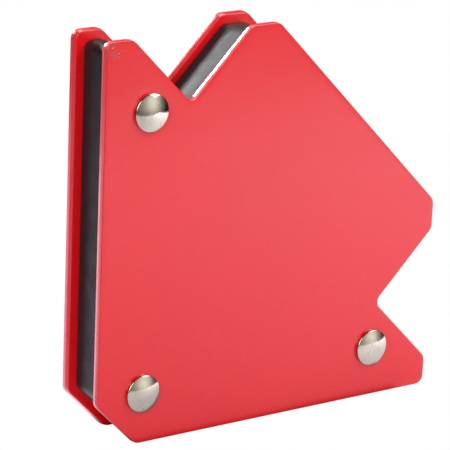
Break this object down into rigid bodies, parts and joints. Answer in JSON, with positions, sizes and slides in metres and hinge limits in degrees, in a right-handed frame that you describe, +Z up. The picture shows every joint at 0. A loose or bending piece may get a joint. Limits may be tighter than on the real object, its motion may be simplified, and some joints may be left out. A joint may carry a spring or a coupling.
{
  "type": "magnetic welding holder",
  "caption": "Arrow-shaped welding magnet: two red steel plates riveted either side of a black core with ferrite blocks, edges at 45, 90 and 135 degrees.",
  "frame": {"origin": "under the middle of the holder, on the surface its base edge stands on", "axes": "+X right along the base edge, -Y out of the front plate with the domed rivet heads, +Z up the left edge"},
  "size_m": [0.085, 0.0166, 0.085],
  "materials": {
    "red_enamel": "gloss red enamel with light orange peel on blanked steel plate",
    "black_moulding": "satin black moulding",
    "ferrite": "ground sintered ferrite",
    "nickel_plate": "bright nickel plate with fine scratches and pits",
    "zinc_plate": "zinc plated tube"
  },
  "bodies": {
    "root": {"front_plate": "red_enamel", "rear_plate": "red_enamel", "spacer_frame": "black_moulding", "magnet_left_inner": "ferrite", "magnet_left_outer": "ferrite", "magnet_base_inner": "ferrite", "magnet_base_outer": "ferrite", "magnet_slope_upper": "ferrite", "magnet_slope_lower": "ferrite", "magnet_core_upper": "ferrite", "magnet_core_lower": "ferrite", "magnet_centre": "ferrite", "rivet_corner": "nickel_plate", "sleeve_corner": "zinc_plate", "rivet_top_foot": "nickel_plate", "sleeve_top_foot": "zinc_plate", "rivet_side_foot": "nickel_plate", "sleeve_side_foot": "zinc_plate"}
  },
  "joints": []
}
